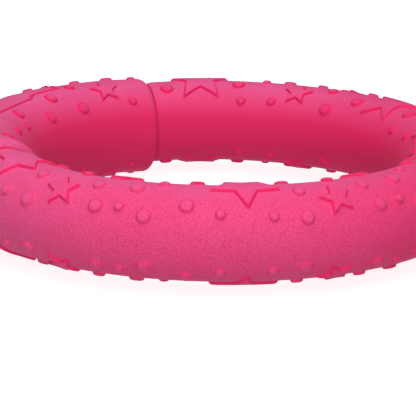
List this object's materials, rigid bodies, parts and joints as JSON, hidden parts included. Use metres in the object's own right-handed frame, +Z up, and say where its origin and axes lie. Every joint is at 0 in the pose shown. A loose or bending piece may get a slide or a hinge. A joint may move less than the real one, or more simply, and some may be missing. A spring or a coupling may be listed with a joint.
{
  "type": "foam hand hoop",
  "caption": "Thick foam ring for gymnastics practice: moulded star and dot relief over a bent plastic core, with a fatter grip section.",
  "frame": {"origin": "centre of the hoop's centre-line circle, at mid-height of the tube", "axes": "+Z up, along the hoop's axis, with the hoop lying flat; -Y is the front, seen from the viewing side; +X is to the right, and the grip section is on the left"},
  "size_m": [0.2833, 0.2799, 0.0532],
  "materials": {
    "jacket_foam": "matt closed-cell foam with a fine moulded grain, hot pink",
    "grip_foam": "matt closed-cell foam with a fine moulded grain, hot pink",
    "core_tube": "natural polyethylene tube, satin",
    "coupling": "moulded nylon, satin",
    "pin": "ground steel"
  },
  "bodies": {
    "root": {"long_foam_jacket": "jacket_foam", "grip_foam_jacket": "grip_foam", "long_core_tube": "core_tube", "grip_core_tube": "core_tube", "rear_coupling": "coupling", "front_coupling": "coupling", "rear_pin_grip_side": "pin", "rear_pin_long_side": "pin", "front_pin_grip_side": "pin", "front_pin_long_side": "pin"}
  },
  "joints": []
}
